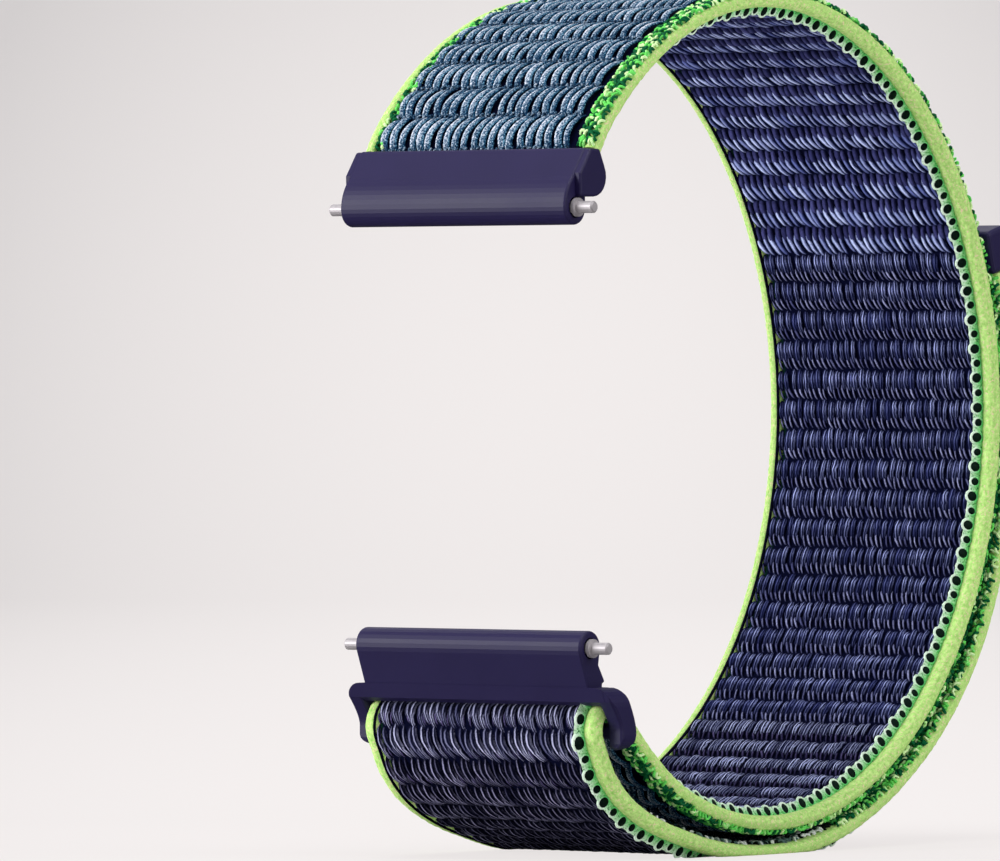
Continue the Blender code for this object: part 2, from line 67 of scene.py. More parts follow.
class Wire:
    # One node socket that takes part in Python sums
    def __init__(self, net, socket):
        self.net = net
        self.socket = socket

    def __add__(self, other):
        return self.net.math("ADD", self, other)

    def __radd__(self, other):
        return self.net.math("ADD", other, self)

    def __sub__(self, other):
        return self.net.math("SUBTRACT", self, other)

    def __rsub__(self, other):
        return self.net.math("SUBTRACT", other, self)

    def __mul__(self, other):
        return self.net.math("MULTIPLY", self, other)

    def __rmul__(self, other):
        return self.net.math("MULTIPLY", other, self)

    def __truediv__(self, other):
        return self.net.math("DIVIDE", self, other)

    def __rtruediv__(self, other):
        return self.net.math("DIVIDE", other, self)

    def __pow__(self, other):
        return self.net.math("POWER", self, other)

    def atLeast(self, low):
        return self.net.math("MAXIMUM", self, low)

    def atMost(self, high):
        return self.net.math("MINIMUM", self, high)

    def clamped(self):
        return self.atLeast(0.0).atMost(1.0)

    def sine(self):
        return self.net.math("SINE", self)

    def cosine(self):
        return self.net.math("COSINE", self)


class Net:
    # A shader or geometry node tree that is written as code
    def __init__(self, tree):
        self.tree = tree

    def add(self, kind, settings=None, inputs=None, out=0):
        node = self.tree.nodes.new(kind)
        for key, value in (settings or {}).items():
            setattr(node, key, value)
        for key, value in (inputs or {}).items():
            self.plug(self.find(node.inputs, key), value)
        return Wire(self, self.find(node.outputs, out))

    def find(self, sockets, key):
        if isinstance(key, int):
            return sockets[key]
        return [s for s in sockets if s.name == key and s.enabled][0]

    def plug(self, socket, value):
        if isinstance(value, Wire):
            self.tree.links.new(value.socket, socket)
        else:
            socket.default_value = value

    def math(self, operation, *values):
        return self.add("ShaderNodeMath", {"operation": operation}, dict(enumerate(values)))

    def scale(self, vector, sizes):
        return self.add("ShaderNodeVectorMath", {"operation": "MULTIPLY"}, {0: vector, 1: sizes})

    def join(self, x, y, z):
        return self.add("ShaderNodeCombineXYZ", None, {0: x, 1: y, 2: z})

    def split(self, vector):
        first = self.add("ShaderNodeSeparateXYZ", None, {0: vector})
        return [Wire(self, s) for s in first.socket.node.outputs]

    def blend(self, factor, first, second):
        return self.add("ShaderNodeMix", {"data_type": "RGBA"}, {0: factor, 6: first, 7: second}, 2)

    def place(self):
        return self.add("ShaderNodeTexCoord", None, None, "Object")

    def attribute(self, name):
        return self.add("ShaderNodeAttribute", {"attribute_name": name}, None, "Fac")

    def noise(self, vector, scale, detail=2.0, roughness=0.5):
        inputs = {"Vector": vector, "Scale": scale, "Detail": detail, "Roughness": roughness}
        return self.add("ShaderNodeTexNoise", None, inputs)

    def bump(self, height, strength, distance):
        inputs = {"Height": height, "Strength": strength, "Distance": distance}
        return self.add("ShaderNodeBump", None, inputs)


def rgb(red, green, blue):
    # A colour as the eye reads it, 0 to 255, made linear
    parts = [v / 255 for v in (red, green, blue)]
    return tuple(v / 12.92 if v <= 0.04045 else ((v + 0.055) / 1.055) ** 2.4 for v in parts) + (1.0,)


def newMaterial(name, settings):
    material = bpy.data.materials.new(name)
    material.use_nodes = True
    shader = material.node_tree.nodes["Principled BSDF"]
    for key, value in settings.items():
        shader.inputs[key].default_value = value
    return material, Net(material.node_tree), shader


def steps(first, last, count):
    return [first + (last - first) * i / count for i in range(count + 1)]


# The strap's centre line, in metres, as the solids have it

loop = {"halfDepth": 0.0296, "halfHeight": 0.03125, "centreY": -0.0028574, "centreZ": 0.0335608,
        "startAngle": 136, "foldAngle": -133, "hingeAngle": -60, "hookAngle": -36, "tailAngle": 19,
        "bendRadius": 0.012, "bendAngle": 14, "pocketDepth": 0.0012, "foldRadius": 0.0018,
        "foldTurn": 160, "tailStart": -132, "tuck": 0.00065, "tuckStart": -112, "tuckSpread": 4.8,
        "bulge": 0.0005, "bulgeRise": 9, "bulgeFall": 16, "layerPitch": 0.00215, "taperAngle": -88,
        "slack": 0.0005, "slackAngle": -32, "slackSpread": 34, "floor": 0.00002,
        "bendSteps": 14, "ringSteps": 540, "foldSteps": 40, "tailSteps": 320}


def ringPoint(angle, standOff=0.0):
    turn = math.radians(angle)
    out = Vector((loop["halfHeight"] * math.cos(turn), loop["halfDepth"] * math.sin(turn))).normalized()
    spot = Vector((loop["halfDepth"] * math.cos(turn), loop["halfHeight"] * math.sin(turn)))
    return spot + out * standOff


def ease(value):
    value = min(max(value, 0.0), 1.0)
    return value * value * (3 - 2 * value)


def tuck(angle):
    return loop["tuck"] * ease((loop["tuckStart"] - angle) / (loop["tuckStart"] - loop["foldAngle"]))


def tailStandOff(angle):
    past = angle - loop["foldAngle"]
    drawn = loop["tuck"] * max(1 - past / loop["tuckSpread"], 0.0) ** 2
    sink = 1 - ease((past - loop["bulgeRise"]) / loop["bulgeFall"])
    bulge = loop["bulge"] * ease(past / loop["bulgeRise"]) * sink
    fall = ease(past / (loop["taperAngle"] - loop["foldAngle"]))
    slack = loop["slack"] * (1 - ease(abs(angle - loop["slackAngle"]) / loop["slackSpread"]))
    close = (loop["layerPitch"] - 2 * loop["foldRadius"]) * fall
    return 2 * loop["foldRadius"] - drawn + bulge + close + slack


def turned(vector, degrees):
    turn = math.radians(degrees)
    return Vector((vector.x * math.cos(turn) - vector.y * math.sin(turn),
                   vector.x * math.sin(turn) + vector.y * math.cos(turn)))


def lugBend():
    # The strap's first stretch, from the ring back into the upper lug's pocket
    near = 0.5
    heading = ringPoint(loop["startAngle"] + near) - ringPoint(loop["startAngle"] - near)
    heading.normalize()
    count = loop["bendSteps"]
    stride = loop["bendRadius"] * math.radians(loop["bendAngle"]) / count
    bend = [ringPoint(loop["startAngle"])]
    for i in range(count):
        bend.append(bend[-1] + turned(heading, loop["bendAngle"] * (i + 0.5) / count) * stride)
    bend.append(bend[-1] + turned(heading, loop["bendAngle"]) * loop["pocketDepth"])
    return bend[:0:-1]


def foldTurn():
    # Round the lower lug's crossbar
    crossbar = ringPoint(loop["foldAngle"], loop["foldRadius"] - loop["tuck"])
    arm = ringPoint(loop["foldAngle"], -loop["tuck"]) - crossbar
    return [crossbar + turned(arm, a) for a in steps(0, loop["foldTurn"], loop["foldSteps"])[1:]]


def strapLine():
    line = lugBend()
    ring = steps(loop["startAngle"], loop["foldAngle"], loop["ringSteps"])
    tail = steps(loop["tailStart"], loop["tailAngle"], loop["tailSteps"])
    line += [ringPoint(a, -tuck(a)) for a in ring]
    line += foldTurn()
    line += [ringPoint(a, tailStandOff(a)) for a in tail]
    last = (line[-1] - line[-2]).normalized()
    line.append(line[-1] + last * loop["pocketDepth"])
    return np.array([(p.x + loop["centreY"], p.y + loop["centreZ"]) for p in line])


centreLine = strapLine()
lineLength = np.concatenate([[0], np.cumsum(np.linalg.norm(np.diff(centreLine, axis=0), axis=1))])
totalLength = float(lineLength[-1])


def lengthNear(angle, standOff=0.0):
    # How far along the centre line the strap passes this point
    spot = ringPoint(angle, standOff)
    away = centreLine - np.array([spot.x + loop["centreY"], spot.y + loop["centreZ"]])
    return float(lineLength[np.argmin((away ** 2).sum(1))])


def tailLengthAt(angle):
    return lengthNear(angle, tailStandOff(angle))


def pathObject(name, points):
    data = bpy.data.curves.new(name, "CURVE")
    data.dimensions = "3D"
    spline = data.splines.new("POLY")
    spline.points.add(len(points) - 1)
    for knot, (y, z) in zip(spline.points, points):
        knot.co = (0, y, z, 1)
    made = bpy.data.objects.new(name, data)
    bpy.context.scene.collection.objects.link(made)
    return made


strapPath = pathObject("strapPath", centreLine)
foldLength = lengthNear(loop["foldAngle"], -loop["tuck"])
hookStart = tailLengthAt(loop["hookAngle"])
tabLength = tailLengthAt(loop["tailAngle"])
print("centre line", round(totalLength * 1000, 1), "mm")


# Places across the strap in metres, from its middle to the right

acrossAt = {"ground": 0.0095, "green": 0.0092, "webFoot": 0.0097, "webFree": 0.0092,
            "borderRight": 0.0091, "borderLeft": -0.00992, "stitchRight": 0.01,
            "stitchLeft": -0.0094, "tailStitchRight": 0.0094}


# Trees that make what is wrapped round the centre line

def newTree(name, sizes):
    # A geometry tree with one named input for each size
    kinds = {int: "NodeSocketInt", float: "NodeSocketFloat"}
    tree = bpy.data.node_groups.new(name, "GeometryNodeTree")
    for key, value in sizes.items():
        kind = kinds.get(type(value), "NodeSocketObject")
        tree.interface.new_socket(key, in_out="INPUT", socket_type=kind)
    tree.interface.new_socket("Geometry", in_out="OUTPUT", socket_type="NodeSocketGeometry")
    group = tree.nodes.new("NodeGroupInput")
    net = Net(tree)
    return net, {key: Wire(net, group.outputs[key]) for key in sizes}


def wrapped(net, geometry, given):
    # Lays flat work on the strap: x across, y along the centre line, z out from it
    x, y, z = place3(net)
    line = net.add("GeometryNodeObjectInfo", None, {"Object": given["Path"]}, "Geometry")
    where = {"Curves": line, "Length": y}
    sample = net.add("GeometryNodeSampleCurve", {"mode": "LENGTH"}, where, "Position")
    spot = net.split(sample)
    run = net.split(Wire(net, sample.socket.node.outputs["Tangent"]))
    out = z * given["Side"]
    place = net.join(x, spot[1] - run[2] * out, (spot[2] + run[1] * out).atLeast(loop["floor"]))
    return net.add("GeometryNodeSetPosition", None, {"Geometry": geometry, "Position": place})


def settle(name, net, geometry, sizes, material):
    # Ends the tree, runs it once and keeps the result as a plain mesh
    smooth = net.add("GeometryNodeSetShadeSmooth", None, {"Geometry": geometry})
    painted = net.add("GeometryNodeSetMaterial", None, {"Geometry": smooth, "Material": material})
    ends = net.tree.nodes.new("NodeGroupOutput")
    net.plug(ends.inputs["Geometry"], painted)
    made = bpy.data.objects.new(name, bpy.data.meshes.new(name))
    bpy.context.scene.collection.objects.link(made)
    step = made.modifiers.new("build", "NODES")
    step.node_group = net.tree
    for item in net.tree.interface.items_tree:
        if item.in_out == "INPUT":
            step[item.identifier] = sizes[item.name]
    graph = bpy.context.evaluated_depsgraph_get()
    result = made.evaluated_get(graph)
    mesh = bpy.data.meshes.new_from_object(result, preserve_all_data_layers=True, depsgraph=graph)
    made.modifiers.clear()
    made.data = mesh
    bpy.data.node_groups.remove(net.tree)
    print(name, sum(len(p.vertices) - 2 for p in mesh.polygons), "triangles")
    return made


def keep(net, geometry, name, value, domain="POINT"):
    settings = {"data_type": "FLOAT", "domain": domain}
    inputs = {"Geometry": geometry, "Name": name, "Value": value}
    return net.add("GeometryNodeStoreNamedAttribute", settings, inputs)


def anyOf(net, low, high, seed):
    inputs = {2: low, 3: high, "Seed": seed}
    return net.add("FunctionNodeRandomValue", {"data_type": "FLOAT"}, inputs, 1)


def recall(net, name):
    return net.add("GeometryNodeInputNamedAttribute", {"data_type": "FLOAT"}, {"Name": name})


def place3(net):
    return net.split(net.add("GeometryNodeInputPosition"))


def circle(net, sides, radius):
    return net.add("GeometryNodeCurvePrimitiveCircle", None, {"Resolution": sides, "Radius": radius})


def yarnTube(net, given, shape):
    # One yarn, lying along y; side runs from -1 to 1 across it
    line = net.add("GeometryNodeCurvePrimitiveLine", None, {"Start": (0, 0, 0), "End": (0, 0.001, 0)})
    line = net.add("GeometryNodeResampleCurve", None, {"Curve": line, "Count": given["Points"]})
    t = net.add("GeometryNodeSplineParameter")
    x, y, z, thick, glow = shape(t, given)
    for name, value in (("along", t), ("body", thick), ("glow", glow), ("middle", x)):
        line = keep(net, line, name, value)
    line = net.add("GeometryNodeSetPosition", None, {"Geometry": line, "Position": net.join(x, y, z)})
    line = net.add("GeometryNodeSetCurveRadius", None, {"Curve": line, "Radius": thick})
    section = circle(net, given["Sides"], given["Radius"])
    parts = {"Curve": line, "Profile Curve": section, "Fill Caps": True}
    tube = net.add("GeometryNodeCurveToMesh", None, parts)
    across = (place3(net)[0] - recall(net, "middle")) / (given["Radius"] * recall(net, "body"))
    return keep(net, tube, "side", across)


def joined(net, first, second):
    both = net.add("GeometryNodeJoinGeometry", None, {"Geometry": first})
    net.plug(both.socket.node.inputs[0], second)
    return both


def eyeletRing(net, given, shape):
    # One loop of yarn, raised by its tilt, with a disc in its hole that is painted dark as the shade there;
    # inner is 1 at its free edge
    line = circle(net, given["Points"], given["Reach"])
    line = keep(net, line, "inner", 0.5 - place3(net)[0] / given["Reach"] / 2)
    section = circle(net, given["Sides"], given["Radius"])
    tube = net.add("GeometryNodeCurveToMesh", None, {"Curve": line, "Profile Curve": section})
    plug = {"Vertices": given["Points"], "Radius": given["Reach"], "Depth": given["Radius"]}
    hole = keep(net, net.add("GeometryNodeMeshCylinder", None, plug), "hole", 1.0)
    turn = {"Geometry": joined(net, tube, hole), "Scale": net.join(1.0, given["Squash"], 1.0),
            "Rotation": net.join(0.0, given["Tilt"], 0.0)}
    return net.add("GeometryNodeTransform", None, turn)


def rows(name, sizes, material, make=yarnTube, shape=None):
    # Lays one yarn out in rows across the strap and wraps them round it
    sizes = {"Path": strapPath, **sizes}
    net, given = newTree(name, sizes)
    yarn = make(net, given, shape)
    length = given["Pitch"] * (given["Rows"] - 1)
    counts = {"Size X": given["Width"], "Size Y": length,
              "Vertices X": given["Columns"], "Vertices Y": given["Rows"]}
    grid = net.add("GeometryNodeMeshGrid", None, counts)
    seed = given["Seed"]
    offset = net.join(given["Centre"] + anyOf(net, -1.0, 1.0, seed) * given["Wander"],
                      length / 2 + given["Start"] + anyOf(net, -1.0, 1.0, seed + 1) * given["Wander"],
                      given["Lift"])
    points = net.add("GeometryNodeSetPosition", None, {"Geometry": grid, "Offset": offset})
    spin = net.join(0.0, 0.0, anyOf(net, -1.0, 1.0, seed + 2) * given["Twist"])
    vary = given["Vary"]
    size = net.join(1 + anyOf(net, -1.0, 1.0, seed + 3) * vary,
                    1 + anyOf(net, -0.5, 0.5, seed + 4) * vary,
                    1 + anyOf(net, -1.0, 0.0, seed + 5) * vary)
    inputs = {"Points": points, "Instance": yarn, "Rotation": spin, "Scale": size}
    laid = net.add("GeometryNodeInstanceOnPoints", None, inputs)
    laid = keep(net, laid, "tone", anyOf(net, 0.0, 1.0, seed + 6), "INSTANCE")
    laid = net.add("GeometryNodeRealizeInstances", None, {"Geometry": laid})
    # Height share of each point, from which the finishes paint highlights at the top and shade at the foot
    crest = ((place3(net)[2] - given["Base"]) / (given["Top"] - given["Base"])).clamped()
    laid = keep(net, laid, "crest", crest)
    return settle(name, net, wrapped(net, laid, given), sizes, material)


def window(t, low, high, sharp=7):
    # 1 between low and high, 0 outside, with soft ends
    return ((t - low) * sharp + 0.5).clamped() * ((high - t) * sharp + 0.5).clamped()


def floatShape(t, given):
    # Rises out of one groove, lies over the row, then bends aside and dives under the next
    arch = (t * math.pi).sine().atLeast(0.0) ** given["Flat"]
    body = (1 - ((t - given["ThickAt"]) / given["ThickFor"]) ** 2.0).atLeast(0.0) ** 0.6
    late = (t - given["BendFrom"]).atLeast(0.0)
    x = (0.5 - t) * given["Lean"] + late ** 1.5 * given["Bend"]
    thick = given["Thin"] + (1 - given["Thin"]) * body
    # Painted light: bright over one stretch of the yarn, dimmer elsewhere
    glow = given["Dim"] + (1 - given["Dim"]) * window(t, given["GlowFrom"], given["GlowTo"])
    return x, (t - 0.5) * given["Reach"], arch * given["Rise"], thick, glow


def bowShape(t, given):
    # Rises out of the row, bows to one side and curls over at its far end
    arch = (t * math.pi).sine().atLeast(0.0) ** 0.6
    x = given["Ply"] + t * t * given["Curl"] - (t * math.pi).sine() * given["Bow"]
    return x, (t - 0.5) * given["Reach"], arch * given["Rise"], 0.6 + 0.4 * arch, 1 - t * given["Dim"]


def hookShape(t, given):
    # Stands up from the tape for its stem, then turns over, measured as angles
    stem = 1.2
    whole = 3.9
    turn = t * whole
    over = (turn - stem).atLeast(0.0)
    z = given["Reach"] * (turn / stem).atMost(1.0) + over.sine() * given["Bow"]
    # The last value is painted light: dark at the hook's foot by the tape, brighter towards its tip
    return t * 0, over.cosine() * given["Bow"], z, 1 - t * 0.3, t


def strip(name, first, last, section, material, step=0.0005, near=0.0001):
    # A band along the strap, its section given as (x, out) places
    mesh = bmesh.new()
    rings = []
    for s in steps(first, last, max(2, int((last - first) / step))):
        ends = [[float(np.interp(s + d, lineLength, centreLine[:, k])) for k in (0, 1)]
                for d in (-near, near)]
        y = (ends[0][0] + ends[1][0]) / 2
        z = (ends[0][1] + ends[1][1]) / 2
        run = Vector((ends[1][0] - ends[0][0], ends[1][1] - ends[0][1])).normalized()
        spots = [(x, y - run.y * out, max(z + run.x * out, 0.0)) for x, out in section]
        rings.append([mesh.verts.new(spot) for spot in spots])
    for one, two in zip(rings, rings[1:]):
        for i in range(len(section)):
            j = (i + 1) % len(section)
            mesh.faces.new((one[i], one[j], two[j], two[i]))
    mesh.faces.new(rings[0][::-1])
    mesh.faces.new(rings[-1])
    bmesh.ops.recalc_face_normals(mesh, faces=mesh.faces)
    return meshObject(name, mesh, material)


def meshObject(name, mesh, material, smoothAngle=40):
    data = bpy.data.meshes.new(name)
    mesh.to_mesh(data)
    mesh.free()
    data.shade_smooth()
    data.set_sharp_from_angle(angle=math.radians(smoothAngle))
    data.materials.append(material)
    made = bpy.data.objects.new(name, data)
    bpy.context.scene.collection.objects.link(made)
    return made


# Finishes, with the scale of the speckle that each kind of surface has

speckles = {"yarn": 7000.0, "edge": 6500.0, "ground": 2600.0, "fleck": 5200.0, "plastic": 6500.0}


def yarnFinish(name, gap, yarn, light, lines=1, sharp=2.2):
    # Yarn with painted shade that makes it nearly black in its gaps, and painted highlights in light lines
    # along its crest, both scaled by the painted light that each yarn carries
    material, net, shader = newMaterial(name, {"Specular IOR Level": 0.06})
    tone = net.attribute("tone")
    crest = net.attribute("crest")
    glow = net.attribute("glow")
    track = net.join(net.attribute("along") * 2.6, tone * 60.0, 0.0)
    wobble = net.noise(track, 1.0, 2.0, 0.5)
    speckle = net.noise(net.place(), speckles["yarn"], 2.0, 0.6)
    spread = 1 + net.attribute("body") * (lines - 1.0)
    across = (net.attribute("side") * 0.95 + (wobble - 0.5) * 0.7) * spread
    ridge = (across * math.pi).cosine() * 0.5 + 0.5
    # Painted highlight: light lines that grow towards the top of the yarn
    high = (crest * 1.9 - 0.6 + (speckle - 0.5) * 1.2).clamped()
    shine = (ridge ** sharp * high * (0.2 + tone * 1.1) * glow).clamped()
    # Painted shade: darker towards the foot of the yarn, between its light lines, and where its painted
    # light is low
    low = crest * 2.4 - 0.55 + (speckle - 0.5)
    low = (low * (0.1 + ridge * 0.9) * (0.3 + glow * 0.7)).clamped()
    net.plug(shader.inputs["Base Color"], net.blend(shine, net.blend(low, gap, yarn), light))
    net.plug(shader.inputs["Roughness"], 0.75 - shine * 0.15)
    net.plug(shader.inputs["Normal"], net.bump(ridge + speckle * 0.6, 0.5, 0.00005))
    return material


def loopFinish(name, dark, middle, light, bias=0.0):
    # Loop yarn, strongly speckled, with painted light: lighter towards its crest, darker towards its foot,
    # and shifted lighter or darker for each ply
    material, net, shader = newMaterial(name, {"Specular IOR Level": 0.08})
    speckle = net.noise(net.place(), speckles["yarn"], 2.0, 0.7)
    tone = net.attribute("tone")
    shade = net.attribute("crest") * 1.5 - 0.75 + (speckle - 0.5) * 6.0 + (tone - 0.5) * 0.5
    colour = net.blend((shade + 0.45 + bias).clamped(), dark, middle)
    net.plug(shader.inputs["Base Color"], net.blend((shade - 0.35 + bias).clamped(), colour, light))
    net.plug(shader.inputs["Roughness"], 0.7 + speckle * 0.2)
    net.plug(shader.inputs["Normal"], net.bump(speckle, 0.5, 0.00005))
    return material


def stitchFinish(name, dark, middle, light):
    # Short stitches, each of them dark, middling or light
    material, net, shader = newMaterial(name, {"Specular IOR Level": 0.1})
    tone = net.attribute("tone")
    speckle = net.noise(net.place(), speckles["yarn"], 2.0, 0.6)
    shade = tone + (speckle - 0.5) * 0.25
    colour = net.blend(((shade - 0.38) * 8.0).clamped(), dark, middle)
    colour = net.blend(((shade - 0.72) * 8.0).clamped(), colour, light)
    net.plug(shader.inputs["Base Color"], colour)
    net.plug(shader.inputs["Roughness"], 0.6 + speckle * 0.2)
    net.plug(shader.inputs["Normal"], net.bump(speckle, 0.4, 0.00005))
    return material


def coreFinish():
    # The ground between the yarns, painted nearly black as the shade between them: dark navy in the field
    # and dark green by the edges
    material, net, shader = newMaterial("darkGround", {"Specular IOR Level": 0.04})
    place = net.place()
    x = net.split(place)[0]
    edge = (((x * x) ** 0.5 - acrossAt["green"]) * 4000.0).clamped()
    grain = net.noise(place, speckles["ground"], 3.0, 0.6)
    field = net.blend(grain, rgb(0, 1, 16), rgb(4, 8, 40))
    border = net.blend(grain, rgb(0, 14, 8), rgb(4, 44, 26))
    net.plug(shader.inputs["Base Color"], net.blend(edge, field, border))
    net.plug(shader.inputs["Roughness"], 0.8 + grain * 0.2)
    net.plug(shader.inputs["Normal"], net.bump(grain, 0.5, 0.0001))
    return material


def limeFinish():
    # Mottled lime yarn with cream flecks
    material, net, shader = newMaterial("limeCord", {"Specular IOR Level": 0.12})
    track = net.join(net.attribute("along") * 2400.0, net.attribute("around") * 14.0, 0.0)
    fibre = net.noise(track, 1.0, 3.0, 0.65)
    fleck = net.noise(net.place(), speckles["fleck"], 2.0, 0.6)
    colour = net.blend((fibre * 2.6 - 0.8).clamped(), rgb(142, 200, 92), rgb(208, 242, 150))
    colour = net.blend(((fleck - 0.53) * 6.0).clamped(), colour, rgb(228, 212, 170))
    net.plug(shader.inputs["Base Color"], colour)
    net.plug(shader.inputs["Roughness"], 0.65 + fibre * 0.2)
    net.plug(shader.inputs["Normal"], net.bump(fibre + fleck, 0.6, 0.00006))
    return material


def eyeletFinish(name, pale, green, deep):
    # Loops that are pale at their free edge and green by the cord, round discs painted dark as the shade in
    # their holes
    material, net, shader = newMaterial(name, {"Specular IOR Level": 0.12})
    speckle = net.noise(net.place(), speckles["edge"], 2.0, 0.6)
    tone = net.attribute("tone")
    inward = net.attribute("inner") * 1.5 - 0.3 + (speckle - 0.5) * 1.6 + (tone - 0.5) * 0.4
    # Painted shade on the disc in each hole, with random dark flecks on the loop
    dark = (net.attribute("hole") * 1.6 + (0.45 - speckle) * 2.0).clamped()
    net.plug(shader.inputs["Base Color"], net.blend(dark, net.blend(inward.clamped(), green, pale), deep))
    net.plug(shader.inputs["Roughness"], 0.6 + speckle * 0.2)
    net.plug(shader.inputs["Normal"], net.bump(speckle, 0.5, 0.00006))
    return material


def webFinish():
    # The tape that the eyelets sit in: green at its foot, pale at its free edge
    material, net, shader = newMaterial("mintWeb", {"Specular IOR Level": 0.12})
    foot = acrossAt["webFoot"]
    free = acrossAt["webFree"]
    place = net.place()
    speckle = net.noise(place, speckles["edge"], 2.0, 0.6)
    height = ((net.split(place)[0] - foot) / (free - foot) + (speckle - 0.5) * 1.4).clamped()
    colour = net.blend(height, rgb(104, 208, 104), rgb(218, 240, 218))
    colour = net.blend(((speckle - 0.44) * -8.0).clamped(), colour, rgb(8, 74, 46))
    net.plug(shader.inputs["Base Color"], colour)
    net.plug(shader.inputs["Roughness"], 0.6 + speckle * 0.2)
    net.plug(shader.inputs["Normal"], net.bump(speckle, 0.6, 0.00008))
    return material


def plasticFinish():
    # Matte moulded plastic with a fine grain
    material, net, shader = newMaterial("indigoPlastic", {"Specular IOR Level": 0.42})
    place = net.place()
    grain = net.noise(place, speckles["plastic"], 2.0, 0.6)
    cloud = net.noise(place, 260.0, 3.0, 0.5)
    net.plug(shader.inputs["Base Color"], net.blend(cloud, rgb(13, 0, 59), rgb(19, 5, 67)))
    net.plug(shader.inputs["Roughness"], 0.52 + cloud * 0.06 + grain * 0.05)
    net.plug(shader.inputs["Normal"], net.bump(grain, 0.2, 0.00003))
    return material


def steelFinish():
    # Turned steel, in fine rings round the bar
    material, net, shader = newMaterial("barSteel", {"Metallic": 0.6})
    place = net.place()
    rings = net.noise(net.scale(place, (9000.0, 400.0, 400.0)), 1.0, 2.0, 0.5)
    net.plug(shader.inputs["Base Color"], net.blend(rings, rgb(172, 166, 170), rgb(198, 194, 196)))
    net.plug(shader.inputs["Roughness"], 0.5 + rings * 0.15)
    return material


# The weave finishes are lit and shaded copies of one navy yarn, each painted for where it lies on the strap
finish = {"rib": yarnFinish("navyWeave", rgb(0, 2, 30), rgb(28, 38, 100), rgb(188, 198, 252), 3.0, 2.8),
          "ribLow": yarnFinish("brightWeave", rgb(0, 2, 30), rgb(14, 20, 68), rgb(200, 208, 252), 3.0, 2.8),
          "base": yarnFinish("purpleWeave", rgb(10, 14, 46), rgb(48, 50, 100), rgb(88, 90, 150), 1.0, 0.8),
          "sweep": yarnFinish("navySweep", rgb(2, 6, 44), rgb(56, 70, 148), rgb(196, 208, 250), 1.4, 1.0),
          "thin": yarnFinish("navyThread", rgb(0, 2, 26), rgb(38, 42, 94), rgb(168, 172, 214)),
          "low": yarnFinish("shadeThread", rgb(0, 1, 22), rgb(26, 24, 66), rgb(120, 110, 160)),
          "tailRib": yarnFinish("navyTail", rgb(0, 2, 26), rgb(34, 38, 86), rgb(196, 198, 232), 2.0, 1.8),
          "tailLow": yarnFinish("shadeTail", rgb(0, 1, 22), rgb(15, 17, 50), rgb(164, 162, 200), 2.0, 3.0),
          "pale": loopFinish("paleLoop", rgb(40, 70, 98), rgb(128, 156, 180), rgb(232, 232, 244), 0.1),
          "grey": loopFinish("greyLoop", rgb(6, 36, 66), rgb(72, 108, 136), rgb(200, 208, 222), -0.15),
          "teal": loopFinish("tealLoop", rgb(2, 28, 58), rgb(26, 84, 120), rgb(140, 184, 204), -0.3),
          # The tail's loops are painted dark as the shade between the two layers, with pale painted
          # highlights
          "inner": loopFinish("darkLoop", rgb(2, 10, 14), rgb(24, 40, 50), rgb(150, 164, 170), -0.1),
          "hook": yarnFinish("hookStem", rgb(6, 8, 30), rgb(34, 38, 84), rgb(78, 84, 140)),
          "border": yarnFinish("tealBorder", rgb(2, 20, 34), rgb(14, 62, 84), rgb(60, 120, 140)),
          "dots": stitchFinish("paleStitch", rgb(4, 16, 14), rgb(90, 116, 112), rgb(236, 240, 236)),
          "moss": stitchFinish("greenStitch", rgb(0, 90, 50), rgb(104, 216, 96), rgb(214, 246, 180)),
          "eyelet": eyeletFinish("mintEyelet", rgb(222, 242, 224), rgb(104, 210, 118), rgb(0, 22, 16)),
          "web": webFinish(),
          "core": coreFinish(),
          "lime": limeFinish(),
          "plastic": plasticFinish(),
          "steel": steelFinish()}
print("finishes made")


# The woven band

band = {"pitch": 0.00238, "grooveAngle": 1.3, "firstRow": 0.0003, "upperAngle": 24, "lowerAngle": -50,
        "tailPitch": 0.0025, "tailFirst": 0.0017, "litRows": 2, "pilePitch": 0.0031, "pileFirst": 0.0012,
        "flapAngle": -75}
grooves = lengthNear(band["grooveAngle"])
ringFirst = grooves - band["pitch"] * int((grooves - band["firstRow"]) / band["pitch"])
tailFirst = foldLength + band["tailFirst"]
ringRows = int((tailFirst - ringFirst) / band["pitch"])
upperRows = round((lengthNear(band["upperAngle"]) - ringFirst) / band["pitch"])
midRows = round((lengthNear(band["lowerAngle"]) - ringFirst) / band["pitch"]) - upperRows
tailRows = int((tabLength - tailFirst) / band["tailPitch"])


def rowsAt(sizes, first, count, middle, seed, **changes):
    # A yarn's sizes for some rows; middle is where its own middle lies in each row
    changes = {**sizes, **changes}
    return {**changes, "Rows": count, "Start": first + changes["Pitch"] * middle, "Seed": seed}


# Yarns of the ribbed face. The reach of each follows its row's pitch. Each carries painted light along its
# length:
# it is painted at its brightest over a stretch given as shares of its length, and elsewhere painted dimmer,
# to its dim share.

